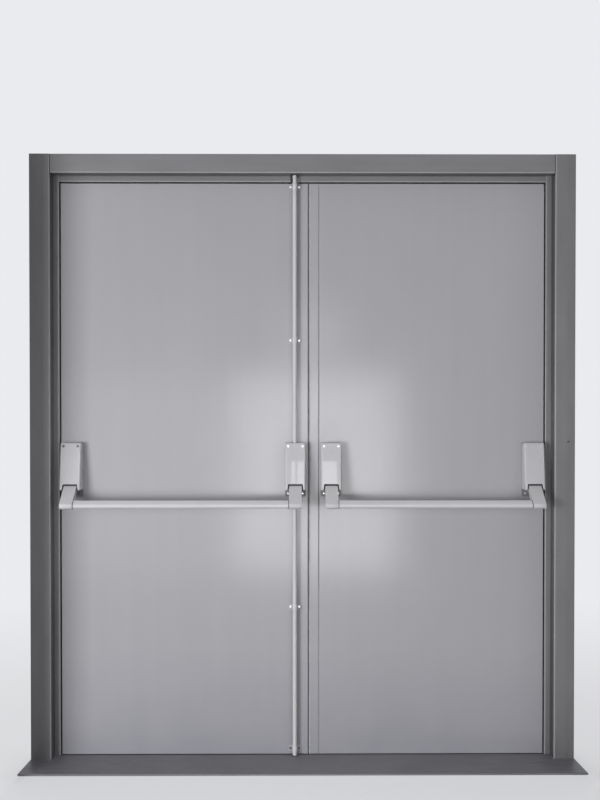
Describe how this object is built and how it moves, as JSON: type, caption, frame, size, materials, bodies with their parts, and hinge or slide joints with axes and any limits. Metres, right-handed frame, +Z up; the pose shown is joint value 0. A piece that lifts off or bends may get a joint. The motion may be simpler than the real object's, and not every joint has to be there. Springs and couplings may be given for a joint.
{
  "type": "double exit door",
  "caption": "Double-leaf flush steel exit door in a folded steel frame on a rebated threshold, with a horizontal push bar on each leaf and vertical latch rods on the left leaf.",
  "frame": {"origin": "underside of the threshold, in the middle of its width and level with the frame's push-side face", "axes": "+X along the wall to the right as seen from the push side, +Y from the push side to the far side, +Z up"},
  "size_m": [2.022, 0.269, 2.227],
  "materials": {
    "frame_paint": "satin dark grey paint",
    "sill_paint": "matt dark grey paint",
    "leaf_paint": "satin light grey paint",
    "device_silver": "silver grey powder coat",
    "rod_finish": "silver grey powder coat",
    "zinc": "zinc plated",
    "seal": "matt black",
    "grey_seal": "matt grey"
  },
  "bodies": {
    "frame": {"jamb_left": "frame_paint", "jamb_right": "frame_paint", "head": "frame_paint", "rod_keeper": "frame_paint", "threshold": "sill_paint", "frame_seal": "seal", "wall_straps_left": "zinc", "wall_straps_right": "zinc", "hinge_pintles_left": "frame_paint", "hinge_pintles_right": "frame_paint"},
    "left_leaf": {"left_leaf_front": "leaf_paint", "left_leaf_back": "leaf_paint", "hinge_barrels_left": "leaf_paint", "rod_guides": "rod_finish", "left_outer_base": "device_silver", "left_outer_housing": "device_silver", "left_inner_base": "device_silver", "left_inner_housing": "device_silver"},
    "left_bar": {"left_push_bar": "device_silver", "left_outer_arm": "device_silver", "left_inner_arm": "device_silver"},
    "top_latch_rod": {"upper_rod": "rod_finish"},
    "bottom_latch_rod": {"lower_rod": "rod_finish"},
    "right_leaf": {"right_leaf_front": "leaf_paint", "right_edge_strip": "leaf_paint", "right_leaf_back": "leaf_paint", "meeting_seal": "grey_seal", "hinge_barrels_right": "leaf_paint", "right_inner_base": "device_silver", "right_inner_housing": "device_silver", "right_outer_base": "device_silver", "right_outer_housing": "device_silver"},
    "right_bar": {"right_push_bar": "device_silver", "right_inner_arm": "device_silver", "right_outer_arm": "device_silver"}
  },
  "joints": [
    {"name": "left_leaf_swing", "type": "hinge", "parent": "frame", "child": "left_leaf", "pos_m": [-0.9435, 0.108, 0.302], "axis": [0, 0, 1], "range_deg": [0, 100]},
    {"name": "right_leaf_swing", "type": "hinge", "parent": "frame", "child": "right_leaf", "pos_m": [0.9435, 0.108, 0.302], "axis": [0, 0, -1], "range_deg": [0, 100]},
    {"name": "left_bar_push", "type": "hinge", "parent": "left_leaf", "child": "left_bar", "pos_m": [-0.8535, 0.0125, 1.006], "axis": [1, 0, 0], "range_deg": [0, 20], "stiffness_Nm_per_rad": 6, "springref_deg": -34.38},
    {"name": "right_bar_push", "type": "hinge", "parent": "right_leaf", "child": "right_bar", "pos_m": [0.8535, 0.0125, 1.006], "axis": [1, 0, 0], "range_deg": [0, 20], "stiffness_Nm_per_rad": 6, "springref_deg": -34.38},
    {"name": "upper_rod_draw", "type": "slide", "parent": "left_leaf", "child": "top_latch_rod", "axis": [0, 0, -1], "range_m": [0, 0.015]},
    {"name": "lower_rod_draw", "type": "slide", "parent": "left_leaf", "child": "bottom_latch_rod", "axis": [0, 0, 1], "range_m": [0, 0.015]}
  ],
  "couplings": [
    {"joint": "upper_rod_draw", "follows": "left_bar_push", "m_per_rad": 0.042},
    {"joint": "lower_rod_draw", "follows": "left_bar_push", "m_per_rad": 0.042}
  ]
}
